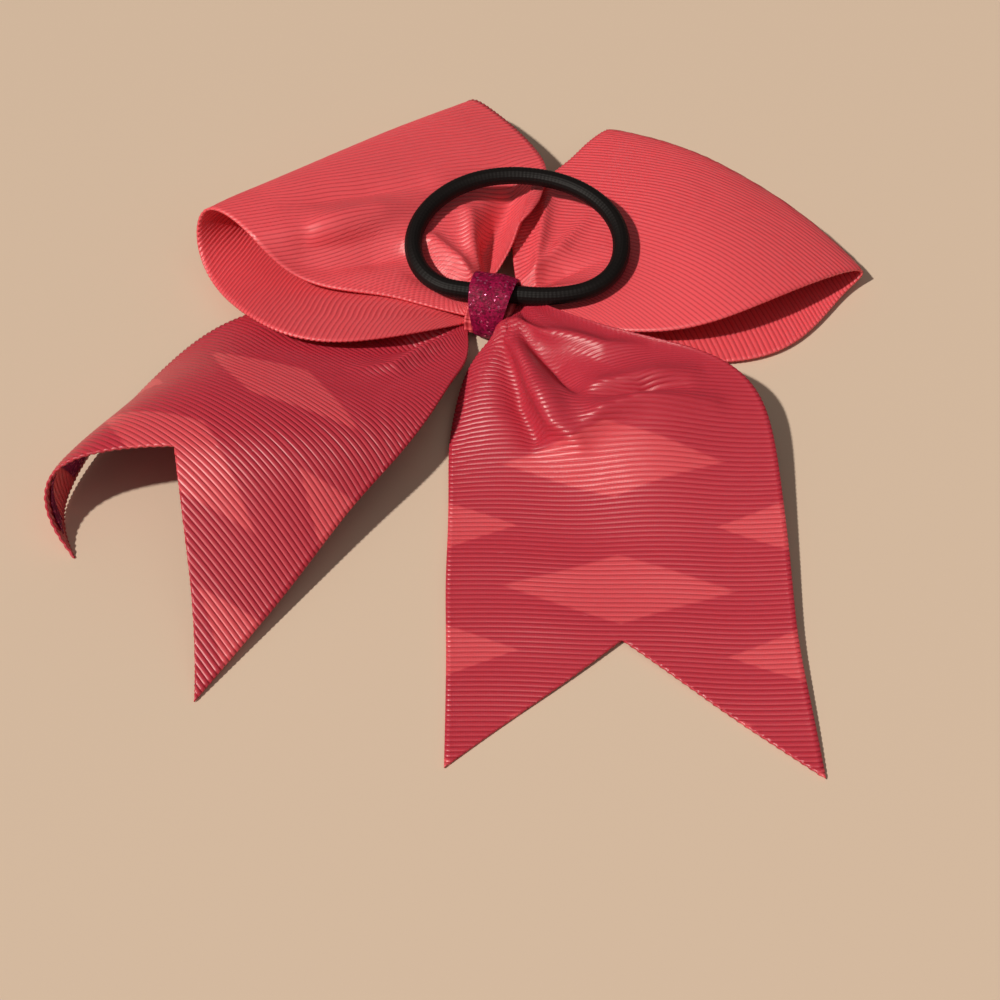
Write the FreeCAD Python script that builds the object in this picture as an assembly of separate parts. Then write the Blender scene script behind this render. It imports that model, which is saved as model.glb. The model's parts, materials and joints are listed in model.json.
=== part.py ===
"""Cheer hair bow lying on its face: two folded ribbon loops, two notched tails, a glitter centre wrap
and a braided hair elastic. Millimetres. +Z is up from the surface the bow lies on, +Y runs from the tails
to the loops, +X is to the right seen from above. The origin is under the middle of the bow's box."""

import FreeCAD, Part
import math
import os

V = FreeCAD.Vector

# ---- Ribbon ----------------------------------------------------------------------------------
ribbon_width = 76.0          # 3 inch grosgrain, selvedge to selvedge
ribbon_thickness = 0.5
loop_span = 153.0            # from the outer corner of one loop to that of the other
loop_depth = 75.0            # from the middle of the bow to the far corner of the loops
loop_height = 21.0           # of the taller loop, to the middle of the ribbon
tail_reach = 130.0           # from the middle of the bow to the tips of the tails
tail_height = 25.0           # of the arched tail, to the middle of the ribbon
notch_depth = 34.0           # of the V cut at a tail's end
lowest_ribbon = 1.0          # middle of the ribbon above the surface, where it lies flattest

# ---- Glitter film on the face of the tails ---------------------------------------------------
film_thickness = 0.2
film_gap = 0.05              # adhesive line between film and ribbon
film_selvedge_margin = 2.0
film_end_margin = 4.0
diamond_rows = 2
diamond_length = 20.0        # along the tail
diamond_width = 53.0         # across the tail
diamond_pitch = 35.0         # from one diamond to the next
side_point_length = 14.0     # bare points at the selvedges, halfway between the diamonds
side_point_reach = 16.0
left_first_diamond = 66.0    # from the gathers, along the tail, to the middle of the first diamond
right_first_diamond = 62.0

# ---- Pinched middle --------------------------------------------------------------------------
pinch_length = 11.0          # along X, across the wrap
pinch_depth = 13.0           # along Y
pinch_height = 7.0
pinch_base = 1.9             # underside of the gathers above the surface
pinch_offset = 0.5           # the gathers sit this far towards the loops
pinch_round = 2.0
root_inset = 0.5             # lowest ribbon layer above the underside of the gathers
root_cover = 0.8             # highest ribbon layer below their top
left_loop_layers = (1.0, 2.3)    # face side and back of each loop, counted up from the lowest layer
right_loop_layers = (0.0, 1.2)
left_tail_layer = 0.0
right_tail_layer = 3.0       # the highest layer
layer_step = (pinch_height - root_inset - root_cover) / right_tail_layer
left_loop_arch = 1.5         # rise of a loop's back layer at the middle of the gathers
right_loop_arch = 1.2
root_gap = 0.35              # between a ribbon's end and the gathers
tie_width = 3.0
tie_thickness = 0.9
glue_thickness = 0.4
glue_depth = 6.0

# ---- Centre wrap -----------------------------------------------------------------------------
wrap_width = 10.5            # of the glitter ribbon, along X
wrap_wall = 0.8
wrap_round = 1.4
elastic_slack = 0.35         # free space round the elastic inside the wrap

# ---- Hair elastic ----------------------------------------------------------------------------
elastic_diameter = 4.3
elastic_core_diameter = 2.4
elastic_core_gap = 0.02
elastic_loop_width = 55.3    # outside, across the loop
elastic_run = 12.0           # straight stretch under the wrap
elastic_blend_turn = 20.0    # degrees past square at which the side arcs meet the top arc
elastic_tilt = 11.0          # degrees, rising away from the wrap where it lies on the loops
elastic_skew = 8.0           # degrees, turned about the vertical
sleeve_length = 7.0
sleeve_wall = 0.25

# ---- Bending lines of the tails --------------------------------------------------------------
bend_gap = 0.6               # left between the fixed and the free part of a tail
left_bend_distance = 43.5    # from the middle of the bow, along the tail
left_bend_heading = 242.7    # degrees, the way the left tail runs from the middle
right_bend_distance = 27.0
right_bend_heading = 296.8

# Control points of the ribbon's middle layer. Each row crosses the ribbon from its front selvedge to its
# rear one (on a tail, from its left selvedge to its right one). They are drawn at these reference sizes and
# stretched to the sizes above.
REF_SPAN, REF_DEPTH, REF_LOOP_HEIGHT, REF_REACH, REF_TAIL_HEIGHT = 153.0, 75.0, 21.0, 130.0, 25.0
REF_ELASTIC_UNDERSIDE = 9.5
ROW_POINTS = 5               # control points across the ribbon
SKIN_ROWS, SKIN_POINTS = 31, 13   # control points of an offset skin, along and across the ribbon
SMALLEST = 0.01
far_out = 3 * tail_reach     # further than any piece reaches

left_face_rows = [           # layer on the face side, from the gathers out to the fold
    [(-19, -13, 10), (-19, -3, 8), (-17, 10, 6), (-11, 23, 5), (-4, 28, 4)],
    [(-35, -23, 12), (-33, -6, 9), (-27, 14, 5), (-19, 32, 3), (-8, 43, 3)],
    [(-52, -15, 10), (-47, 2, 7), (-37, 21, 4), (-27, 40, 3), (-16, 57, 3)],
    [(-70, -2, 4), (-61, 17, 3), (-50, 34, 3), (-38, 52, 3), (-27, 68, 3)],
]
left_fold_row = [(-74, 3, 12), (-63, 20, 11), (-52, 37, 10), (-40, 54, 9), (-28, 72, 8)]
left_back_rows = [           # layer on the back, from the fold in to the gathers
    [(-72, 4, 21), (-61, 19, 20), (-49, 35, 18), (-37, 52, 16), (-25, 71, 13)],
    [(-58, -6, 20), (-47, 8, 20), (-37, 25, 18), (-26, 43, 16), (-15, 64, 13)],
    [(-45, -12, 16), (-40, 6, 16), (-29, 22, 14), (-17, 37, 13), (-6, 53, 11)],
    [(-32, -10, 12), (-31, 7, 12), (-25, 22, 11), (-13, 35, 11), (-4, 44, 10)],
    [(-19, -4, 9), (-20, 7, 10), (-18, 18, 10), (-12, 25, 10), (-5, 24, 9)],
]
right_face_rows = [
    [(27, -3, 2), (25, 6, 2), (20, 16, 2), (12, 24, 2), (4, 30, 2)],
    [(51, -3, 2), (46, 12, 2), (36, 24, 2), (20, 36, 2), (6, 44, 2)],
    [(72, 8, 2), (61, 25, 2), (46, 41, 2), (27, 50, 2), (11, 57, 2)],
    [(79, 33, 2), (65, 46, 2), (46, 59, 2), (28, 67, 2), (13, 68, 2)],
]
right_fold_row = [(81, 38, 4), (69, 50, 5), (49, 63, 6), (29, 71, 6), (11, 73, 5)]
right_back_rows = [
    [(79, 36, 8), (67, 48, 10), (46, 61, 11), (27, 69, 11), (10, 70, 9)],
    [(69, 20, 12), (61, 34, 14), (46, 48, 15), (26, 58, 13), (7, 64, 10)],
    [(57, 7, 12), (50, 23, 15), (37, 35, 15), (22, 45, 13), (5, 56, 10)],
    [(45, 1, 9), (39, 13, 11), (30, 27, 12), (17, 36, 11), (3, 47, 10)],
    [(30, -1, 7), (26, 8, 9), (22, 18, 10), (13, 25, 11), (3, 36, 10)],
    [(16, 0, 6), (14, 7, 8), (12, 13, 9), (9, 19, 10), (4, 24, 10)],
]
left_tail_rows = [
    [(-25, 2, 2), (-20, -7, 2), (-13, -17, 4), (-7, -22, 5), (-4, -16, 3)],
    [(-43, -2, 2), (-35, -13, 3), (-23, -30, 9), (-12, -39, 12), (-4, -30, 7)],
    [(-58, -17, 5), (-46, -31, 9), (-30, -46, 16), (-16, -53, 16), (-5, -44, 10)],
    [(-63, -37, 12), (-49, -51, 19), (-34, -63, 23), (-20, -68, 20), (-7, -64, 12)],
    [(-66, -63, 18), (-54, -72, 24), (-40, -79, 25), (-27, -83, 20), (-13, -81, 11)],
    [(-71, -88, 16), (-65, -85, 22), (-50, -85, 24), (-36, -90, 16), (-20, -99, 4)],
    [(-70, -96, 1), (-72, -102, 12), (-57, -107, 19), (-44, -114, 10), (-28, -126, 1)],
]
right_tail_rows = [
    [(0, -14, 5), (10, -21, 9), (19, -23, 13), (25, -15, 13), (28, -5, 11)],
    [(-1, -29, 3), (12, -32, 6), (25, -32, 11), (41, -24, 16), (51, -9, 15)],
    [(2, -44, 2), (19, -41, 3), (35, -37, 8), (53, -29, 14), (68, -16, 12)],
    [(7, -61, 2), (25, -54, 2), (43, -48, 3), (60, -41, 5), (77, -35, 8)],
    [(13, -83, 2), (31, -78, 2), (49, -72, 2), (67, -67, 3), (84, -61, 5)],
    [(19, -107, 1), (37, -102, 2), (55, -97, 2), (73, -93, 2), (91, -88, 3)],
    [(25, -130, 1), (43, -125, 1), (61, -121, 1), (80, -117, 1), (98, -113, 1)],
]


def fitted(rows, across, along, reference_height, height):
    """The control rows stretched to size, none of them below the lowest ribbon."""
    rise = (height - lowest_ribbon) / (reference_height - lowest_ribbon)
    stretched = []
    for row in rows:
        heights = [lowest_ribbon + (z - lowest_ribbon) * rise for x, y, z in row]
        stretched.append([V(x * across, y * along, height) for (x, y, z), height in zip(row, heights)])
    return stretched


def root_row(side, layer, arch):
    """Where a ribbon enters the gathers: side is -1 left and 1 right, and layer counts up from the face."""
    depth = pinch_depth - 2 * pinch_round
    x = side * (pinch_length / 2 + root_gap)
    base = pinch_base + root_inset + layer * layer_step
    row = []
    for i in range(ROW_POINTS):
        share = i / (ROW_POINTS - 1)
        y = pinch_offset + (share - 0.5) * depth
        row.append(V(x, y, base + arch * math.sin(math.pi * share)))
    return row


def clamped_knots(count, degree=3):
    """Knots and multiplicities of a clamped, evenly spaced spline with this many poles."""
    spans = count - degree
    return [float(i) for i in range(spans + 1)], [degree + 1] + [1] * (spans - 1) + [degree + 1]


def draped(rows):
    """The smooth surface that these control rows pull into shape."""
    along_knots, along_mults = clamped_knots(len(rows))
    across_knots, across_mults = clamped_knots(len(rows[0]))
    surface = Part.BSplineSurface()
    surface.buildFromPolesMultsKnots(
        rows, along_mults, across_mults, along_knots, across_knots, False, False, 3, 3
    )
    return surface


def offset_rows(surface, offset):
    """Close rows of points on the surface moved along its normal."""
    u0, u1, v0, v1 = surface.bounds()
    rows = []
    for i in range(SKIN_ROWS):
        u = u0 + (u1 - u0) * i / (SKIN_ROWS - 1)
        row = []
        for j in range(SKIN_POINTS):
            v = v0 + (v1 - v0) * j / (SKIN_POINTS - 1)
            row.append(surface.value(u, v) + surface.normal(u, v) * offset)
        rows.append(row)
    return rows


def edge_wall(low_curve, high_curve):
    """The narrow face along one edge of a ribbon, between the matching edges of its two skins."""
    mults, knots, degree = low_curve.getMultiplicities(), low_curve.getKnots(), low_curve.Degree
    rails = [low_curve.getPoles(), high_curve.getPoles()]
    surface = Part.BSplineSurface()
    surface.buildFromPolesMultsKnots(rails, [2, 2], mults, [0.0, 1.0], knots, False, False, 1, degree)
    return surface.toShape()


def sheet(surface, low, high, across=(0.0, 1.0), along=(0.0, 1.0)):
    """A closed solid between two offsets of the ribbon's middle surface, from one share of it to another."""
    skins = [draped(offset_rows(surface, offset)) for offset in (low, high)]
    u0, u1, v0, v1 = skins[0].bounds()
    span_u, span_v = u1 - u0, v1 - v0
    kept_u = [u0 + span_u * share for share in along]
    kept_v = [v0 + span_v * share for share in across]
    for skin in skins:
        skin.segment(*kept_u, *kept_v)
    u0, u1, v0, v1 = skins[0].bounds()
    faces = [skin.toShape() for skin in skins]
    for u in (u0, u1):
        faces.append(edge_wall(*[skin.uIso(u) for skin in skins]))
    for v in (v0, v1):
        faces.append(edge_wall(*[skin.vIso(v) for skin in skins]))
    shell = Part.makeShell(faces)
    shell.sewShape()
    solid = Part.makeSolid(shell)
    if solid.Volume < 0:
        solid.reverse()
    return solid


def carrying(back_rows):
    """A loop's back rows moved up or down with the elastic's underside, which lies on the inner ones."""
    shift = elastic_axis_height() - elastic_diameter / 2 - REF_ELASTIC_UNDERSIDE
    moved = []
    for i, row in enumerate(back_rows):
        share = min(i / 2, 1)
        moved.append([(x, y, z + shift * share) for x, y, z in row])
    return moved


def loop(side, control_rows, layers, arch):
    """One ribbon loop: out along the face side, round the fold and back over it."""
    across, along = loop_span / REF_SPAN, loop_depth / REF_DEPTH
    outer = fitted(control_rows, across, along, REF_LOOP_HEIGHT, loop_height)
    rows = [root_row(side, layers[0], 0)] + outer + [root_row(side, layers[1], arch)]
    return sheet(draped(rows), -ribbon_thickness / 2, ribbon_thickness / 2)


def beyond(degrees, distance):
    """A block of space from this distance along the heading to past the end of a tail."""
    block = Part.makeBox(far_out, 2 * far_out, 2 * far_out, V(distance, -far_out, -far_out))
    block.rotate(V(0, 0, 0), V(0, 0, 1), degrees)
    return block


def prism(corners):
    """A tall block with these corners in plan."""
    points = [V(p.x, p.y, -far_out) for p in corners]
    return Part.Face(Part.makePolygon(points + points[:1])).extrude(V(0, 0, 2 * far_out))


def notch(surface, depth):
    """The wedge that the V cut takes out of a tail's end."""
    u0, u1, v0, v1 = surface.bounds()
    middle = surface.vIso((v0 + v1) / 2)
    end = middle.length(u0, u1)
    start = middle.parameterAtDistance(end - depth, u0)
    tips = [surface.value(u1, v0), surface.value(u1, v1)]
    apex = surface.value(start, (v0 + v1) / 2)
    outwards = (tips[0] + tips[1]) * 0.5 - apex
    return prism([apex, tips[0], tips[0] + outwards, tips[1] + outwards, tips[1]])


def diamonds(surface, length, first):
    """The bare shapes between the film's bands, as tall blocks: diamonds, and points at the sides."""
    u0, u1, v0, v1 = surface.bounds()
    per_mm_along, per_mm_across = (u1 - u0) / length, (v1 - v0) / ribbon_width
    middle = (v0 + v1) / 2
    blocks = []
    for row in range(diamond_rows):
        u = u0 + (first + row * diamond_pitch) * per_mm_along
        half = diamond_length / 2 * per_mm_along
        reach = diamond_width / 2 * per_mm_across
        corners = [(u - half, middle), (u, middle + reach), (u + half, middle), (u, middle - reach)]
        blocks.append(prism([surface.value(*corner) for corner in corners]))
        u += diamond_pitch / 2 * per_mm_along
        half = side_point_length / 2 * per_mm_along
        reach = side_point_reach * per_mm_across
        for edge, inner in ((v0, v0 + reach), (v1, v1 - reach)):
            corners = [(u - half, edge), (u, inner), (u + half, edge)]
            blocks.append(prism([surface.value(*corner) for corner in corners]))
    return blocks


def biggest(shape):
    """The largest solid of a shape, without slivers."""
    return max(shape.Solids, key=lambda solid: solid.Volume)


def tail(side, layer, rows, degrees, distance, first_diamond):
    """The fixed root of a tail, its free part and the glitter film under the free part."""
    stretch = tail_reach / REF_REACH
    outer = fitted(rows, stretch, stretch, REF_TAIL_HEIGHT, tail_height)
    first = root_row(side, layer, 0)
    if side < 0:
        first.reverse()
    surface = draped([first] + outer)
    u0, u1, v0, v1 = surface.bounds()
    length = surface.vIso((v0 + v1) / 2).length(u0, u1)
    ribbon = sheet(surface, -ribbon_thickness / 2, ribbon_thickness / 2)
    free = beyond(degrees, distance + bend_gap / 2)
    root = biggest(ribbon.cut(beyond(degrees, distance - bend_gap / 2)))
    moving = biggest(ribbon.common(free).cut(notch(surface, notch_depth)))
    face_side = 1 if surface.normal((u0 + u1) / 2, (v0 + v1) / 2).z < 0 else -1
    near = face_side * (ribbon_thickness / 2 + film_gap)
    far = near + face_side * film_thickness
    margin = film_selvedge_margin / ribbon_width
    kept_along = (0.0, 1 - film_end_margin / length)
    film = sheet(surface, min(near, far), max(near, far), (margin, 1 - margin), kept_along)
    film = film.common(free).cut(notch(surface, notch_depth + film_end_margin))
    for block in diamonds(surface, length, first_diamond):
        film = film.cut(block)
    return root, moving, film


def block_outline(grow, top_grow):
    """The gathers' outline in the YZ plane, grown by these amounts, as a closed list of points."""
    y0 = pinch_offset - pinch_depth / 2 - grow
    y1 = pinch_offset + pinch_depth / 2 + grow
    z0, z1 = pinch_base - grow, pinch_base + pinch_height + top_grow
    return [V(0, y0, z0), V(0, y1, z0), V(0, y1, z1), V(0, y0, z1)]


def bar(outline, length, round_radius):
    """An outline in the YZ plane drawn along X about the middle, its long edges rounded."""
    face = Part.Face(Part.makePolygon(outline + outline[:1]))
    solid = face.extrude(V(length, 0, 0))
    long_edges = [edge for edge in solid.Edges if abs(edge.tangentAt(edge.FirstParameter).x) > 1 - SMALLEST]
    solid = solid.makeFillet(round_radius, long_edges)
    solid.translate(V(-length / 2, 0, 0))
    return solid


def gathers():
    """The accordion pleats squeezed into one block, the tie sunk into it and the glue under it."""
    block = bar(block_outline(0, 0), pinch_length, pinch_round)
    inside = bar(block_outline(-tie_thickness, -tie_thickness), tie_width * 2, pinch_round - tie_thickness)
    band = bar(block_outline(0, 0), tie_width, pinch_round).cut(inside)
    glue_length = wrap_width - 2 * glue_thickness
    glue = Part.makeBox(glue_length, glue_depth, glue_thickness)
    glue.translate(V(-glue_length / 2, pinch_offset - glue_depth / 2, pinch_base - glue_thickness))
    return biggest(block.cut(band)), band, glue


def elastic_axis_height():
    """Height of the elastic's middle line under the wrap."""
    return pinch_base + pinch_height + elastic_slack + sleeve_wall + elastic_diameter / 2


def wrap():
    """The glitter band round the gathers, raised over the elastic."""
    shoulder = pinch_base + pinch_height
    half_tunnel = elastic_diameter / 2 + sleeve_wall + elastic_slack
    top = elastic_axis_height() + half_tunnel
    y0, y1 = pinch_offset - pinch_depth / 2, pinch_offset + pinch_depth / 2
    z0 = pinch_base - glue_thickness

    def outline(grow):
        return [
            V(0, y0 - grow, z0 - grow),
            V(0, y1 + grow, z0 - grow),
            V(0, y1 + grow, shoulder + grow / 2),
            V(0, half_tunnel + grow / 2, top + grow),
            V(0, -half_tunnel - grow / 2, top + grow),
            V(0, y0 - grow, shoulder + grow / 2),
        ]

    hollow = bar(outline(0), 2 * wrap_width, wrap_round - wrap_wall)
    return bar(outline(wrap_wall), wrap_width, wrap_round).cut(hollow)


def elastic_parts():
    """The braided cover, the rubber core in it and the sleeve over its joined ends, lying on the loops."""
    radius = elastic_diameter / 2
    half_run = elastic_run / 2
    side_radius = elastic_loop_width / 2 - radius - half_run
    turn = math.radians(elastic_blend_turn)
    top_radius = side_radius + half_run / math.cos(turn)
    top_centre = V(0, side_radius - half_run * math.tan(turn), 0)

    def ring(outer, inner):
        """A tube along the elastic's loop, solid where inner is 0."""
        face = Part.Face(Part.Wire(Part.makeCircle(outer, V(-half_run, 0, 0), V(1, 0, 0))))
        if inner:
            face = face.cut(Part.Face(Part.Wire(Part.makeCircle(inner, V(-half_run, 0, 0), V(1, 0, 0)))))
        right = face.copy()
        right.translate(V(elastic_run, 0, 0))
        side_turn = 90 + elastic_blend_turn
        z_axis = V(0, 0, 1)
        right_arc = right.revolve(V(half_run, side_radius, 0), z_axis, side_turn)
        left_arc = face.revolve(V(-half_run, side_radius, 0), z_axis, -side_turn)
        start = right.copy()
        start.rotate(V(half_run, side_radius, 0), z_axis, side_turn)
        top_arc = start.revolve(top_centre, z_axis, 180 - 2 * elastic_blend_turn)
        pieces = [face.extrude(V(elastic_run, 0, 0)), right_arc, top_arc, left_arc]
        solids = [piece.Solids[0] for piece in pieces]
        return biggest(solids[0].multiFuse(solids[1:]).removeSplitter())

    sleeve = Part.makeCylinder(radius + sleeve_wall, sleeve_length, V(-sleeve_length / 2, 0, 0), V(1, 0, 0))
    sleeve = sleeve.cut(Part.makeCylinder(radius, sleeve_length, V(-sleeve_length / 2, 0, 0), V(1, 0, 0)))
    core_radius = elastic_core_diameter / 2
    parts = [ring(radius, core_radius), ring(core_radius - elastic_core_gap, 0), sleeve]
    for part in parts:
        part.rotate(V(0, 0, 0), V(1, 0, 0), elastic_tilt)
        part.rotate(V(0, 0, 0), V(0, 0, 1), elastic_skew)
        part.translate(V(0, 0, elastic_axis_height()))
    return parts


def build():
    """Every node's solid by name."""
    nodes = {}
    left_rows = left_face_rows + [left_fold_row] + carrying(left_back_rows)
    right_rows = right_face_rows + [right_fold_row] + carrying(right_back_rows)
    nodes["left_loop"] = loop(-1, left_rows, left_loop_layers, left_loop_arch)
    nodes["right_loop"] = loop(1, right_rows, right_loop_layers, right_loop_arch)
    nodes["left_tail_root"], nodes["left_tail"], nodes["left_tail_glitter"] = tail(
        -1, left_tail_layer, left_tail_rows, left_bend_heading, left_bend_distance, left_first_diamond
    )
    nodes["right_tail_root"], nodes["right_tail"], nodes["right_tail_glitter"] = tail(
        1, right_tail_layer, right_tail_rows, right_bend_heading, right_bend_distance, right_first_diamond
    )
    nodes["pinched_centre"], nodes["gathering_tie"], nodes["wrap_glue"] = gathers()
    nodes["centre_wrap"] = wrap()
    nodes["elastic_cover"], nodes["elastic_core"], nodes["elastic_sleeve"] = elastic_parts()
    return nodes


def centred(nodes):
    """Moves everything so that the origin is under the middle of the bow's box, and says by how much."""
    box = Part.makeCompound(list(nodes.values())).optimalBoundingBox(False, False)
    shift = V(-(box.XMin + box.XMax) / 2, -(box.YMin + box.YMax) / 2, -box.ZMin)
    for shape in nodes.values():
        shape.translate(shift)
    return shift, box


nodes = build()
shift, box = centred(nodes)
os.makedirs("parts", exist_ok=True)
for name, shape in nodes.items():
    if not shape.isValid():
        print("not valid:", name)
    shape.exportStep("parts/" + name + ".step")
    print(f"{name:20s} {shape.Volume:9.1f} mm3, {len(shape.Solids)} solid(s)")
print(f"size {box.XLength:.1f} x {box.YLength:.1f} x {box.ZLength:.1f}")
print(f"middle of the bow at {shift.x:.2f}, {shift.y:.2f}, {shift.z:.2f}")
print(f"elastic pivot height {elastic_axis_height() + shift.z:.2f}")
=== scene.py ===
"""A cheer hair bow lying on its face: grosgrain loops and tails, a glitter wrap and a hair elastic."""

import json
import math
import random

import bmesh
import bpy
import numpy as np
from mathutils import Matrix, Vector


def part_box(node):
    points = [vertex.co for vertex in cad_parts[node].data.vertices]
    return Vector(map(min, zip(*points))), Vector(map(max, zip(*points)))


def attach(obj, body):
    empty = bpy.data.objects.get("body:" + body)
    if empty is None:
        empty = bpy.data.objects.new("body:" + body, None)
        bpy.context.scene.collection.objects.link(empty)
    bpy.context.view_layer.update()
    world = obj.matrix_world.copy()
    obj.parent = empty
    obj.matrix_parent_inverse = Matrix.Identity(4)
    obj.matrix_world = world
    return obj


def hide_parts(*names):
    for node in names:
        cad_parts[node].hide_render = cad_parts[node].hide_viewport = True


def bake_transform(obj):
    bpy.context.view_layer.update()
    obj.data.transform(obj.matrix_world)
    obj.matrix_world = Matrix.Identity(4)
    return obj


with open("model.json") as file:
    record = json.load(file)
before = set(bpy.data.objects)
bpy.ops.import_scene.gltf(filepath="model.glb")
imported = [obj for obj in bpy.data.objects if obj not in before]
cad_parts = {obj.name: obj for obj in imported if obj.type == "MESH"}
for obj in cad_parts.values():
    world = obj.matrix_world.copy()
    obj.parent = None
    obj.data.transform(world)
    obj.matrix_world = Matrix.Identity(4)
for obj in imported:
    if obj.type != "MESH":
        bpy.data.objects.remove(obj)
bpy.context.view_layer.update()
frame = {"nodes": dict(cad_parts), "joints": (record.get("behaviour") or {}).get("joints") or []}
for thing in bpy.context.selected_objects:
    thing.select_set(False)
bpy.context.scene.view_settings.view_transform = "Standard"

# ---- Middle of the bow, the surface it lies on, light and camera ---------------------------------
# The bow is measured from the point under its knot, which the wrap's box gives. It lies on a pale,
# matt board. The sun shines in from the front left, into the open loops, and the room fills in.
MM = 0.001
wrap_low, wrap_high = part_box("centre_wrap")
wrap_floor_gap = 0.7 * MM
wrap_set_back = 0.5 * MM
middle = Vector(
    (
        (wrap_low.x + wrap_high.x) / 2,
        (wrap_low.y + wrap_high.y) / 2 - wrap_set_back,
        wrap_low.z - wrap_floor_gap,
    )
)

bpy.ops.mesh.primitive_plane_add(size=16.0, location=(0, 0, 0))
board = bpy.context.object
board.name = "board"
board_paint = bpy.data.materials.new("board_paint")
board_paint.use_nodes = True
shader = board_paint.node_tree.nodes["Principled BSDF"]
shader.inputs["Base Color"].default_value = (0.70, 0.555, 0.43, 1)
shader.inputs["Roughness"].default_value = 0.7
board.data.materials.append(board_paint)

camera_data = bpy.data.cameras.new("camera")
camera_data.sensor_width = 36.0
camera_data.lens = 81.7
camera = bpy.data.objects.new("camera", camera_data)
bpy.context.collection.objects.link(camera)
camera_heading, camera_height, camera_distance = math.radians(15), math.radians(46), 0.5056
towards = Vector(
    (
        math.sin(camera_heading) * math.cos(camera_height),
        -math.cos(camera_heading) * math.cos(camera_height),
        math.sin(camera_height),
    )
)
aim = middle + Vector((0.0163, -0.0544, 0))
camera.location = aim + towards * camera_distance
camera.rotation_euler = (-towards).to_track_quat("-Z", "Y").to_euler()
bpy.context.scene.camera = camera

for name, kind, place, power, colour in (
    ("sun", "SUN", (-0.383, -0.549, 0.743), 3.15, (1.0, 0.93, 0.84)),
    ("fill", "AREA", (0.5, -0.7, 1.2), 2.2, (1.0, 0.88, 0.82)),
):
    light = bpy.data.lights.new(name, kind)
    light.energy = power
    light.color = colour
    if kind == "SUN":
        light.angle = math.radians(2.5)
    else:
        light.size = 1.4
    stand = bpy.data.objects.new(name, light)
    bpy.context.collection.objects.link(stand)
    stand.location = place
    stand.rotation_euler = (-Vector(place)).to_track_quat("-Z", "Y").to_euler()
world = bpy.data.worlds.new("room")
world.use_nodes = True
world.node_tree.nodes["Background"].inputs["Color"].default_value = (1.0, 0.9, 0.82, 1)
world.node_tree.nodes["Background"].inputs["Strength"].default_value = 0.13
bpy.context.scene.world = world


# ---- Left loop -------------------------------------------------------------------------------------
# The real loop is a run of 76 mm grosgrain ribbon, folded over at its outer end and gathered into
# pleats at the knot, where the tie and the wrap hold it. Its ribs run across the ribbon.
ribbon_width = 76 * MM
ribbon_thickness = 0.5 * MM
rib_pitch = 1.3 * MM
rib_height = 0.32 * MM
selvedge_width = 0.9 * MM
table_rows, table_columns = 1600, 129


def spline_weights(count, shares):
    """How much each of these control rows pulls at these shares of a clamped cubic spline."""
    spans = count - 3
    knots = np.concatenate([np.zeros(3), np.arange(spans + 1), np.full(3, spans)])
    x = np.clip(shares, 0, 1) * spans
    x = np.minimum(x, spans - 1e-9)
    weights = [((x >= low) & (x < high)).astype(float) for low, high in zip(knots[:-1], knots[1:])]
    for degree in (1, 2, 3):
        raised = []
        for i in range(len(weights) - 1):
            left = knots[i + degree] - knots[i]
            right = knots[i + degree + 1] - knots[i + 1]
            total = np.zeros_like(x)
            if left > 0:
                total += (x - knots[i]) / left * weights[i]
            if right > 0:
                total += (knots[i + degree + 1] - x) / right * weights[i + 1]
            raised.append(total)
        weights = raised
    return np.array(weights).T


def surface_normals(points):
    """Unit normals of a table of points."""
    normal = np.cross(np.gradient(points, axis=0), np.gradient(points, axis=1))
    return normal / np.maximum(np.linalg.norm(normal, axis=2, keepdims=True), 1e-12)


def fold_line(places, width, part=(0.0, 1.0)):
    """A fold along a line of (x, y, rise) places in plan, on this part of the sheet's length."""
    return places, width, part


def evened(points):
    """The table with its columns spread evenly over the ribbon's width."""
    steps = np.linalg.norm(np.diff(points, axis=1), axis=2)
    spread = np.hstack([np.zeros((len(points), 1)), np.cumsum(steps, axis=1)])
    even = np.linspace(0, 1, points.shape[1])
    found = np.empty_like(points)
    for row, reach, out in zip(points, spread, found):
        for axis in range(3):
            out[:, axis] = np.interp(even * reach[-1], reach, row[:, axis])
    return found


def folded(rows, folds):
    """A fine table of points over the sheet that these control rows pull, with its folds raised."""
    net = np.array(rows, float) * MM
    along, across = np.linspace(0, 1, table_rows), np.linspace(0, 1, table_columns)
    down, over = spline_weights(net.shape[0], along), spline_weights(net.shape[1], across)
    points = evened(np.einsum("ia,abc,jb->ijc", down, net, over))
    rise = np.zeros((table_rows, table_columns))
    outer = slice(table_rows // 2, None)
    upward = 1 if surface_normals(points)[outer, :, 2].mean() > 0 else -1
    for places, width, (first, last) in folds:
        kept = slice(int(first * table_rows), int(last * table_rows))
        plan = points[kept, :, :2]
        nearest = np.full(plan.shape[:2], 1e9)
        size = np.zeros(plan.shape[:2])
        for (x0, y0, rise0), (x1, y1, rise1) in zip(places[:-1], places[1:]):
            start, run = np.array((x0, y0)) * MM, np.array((x1 - x0, y1 - y0)) * MM
            share = np.clip(((plan - start) @ run) / (run @ run), 0, 1)
            distance = np.linalg.norm(plan - start - share[:, :, None] * run, axis=2)
            closer = distance < nearest
            nearest = np.where(closer, distance, nearest)
            size = np.where(closer, rise0 + (rise1 - rise0) * share, size)
        rise[kept] += size * MM * np.exp(-((nearest / (width * MM)) ** 1.5))
    return points + surface_normals(points) * (upward * rise)[:, :, None] + np.array(middle)


def column_lengths(table):
    """Distance from the sheet's first row to each point, along its own column."""
    steps = np.linalg.norm(np.diff(table, axis=0), axis=2)
    return np.vstack([np.zeros(table.shape[1]), np.cumsum(steps, axis=0)])


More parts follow.
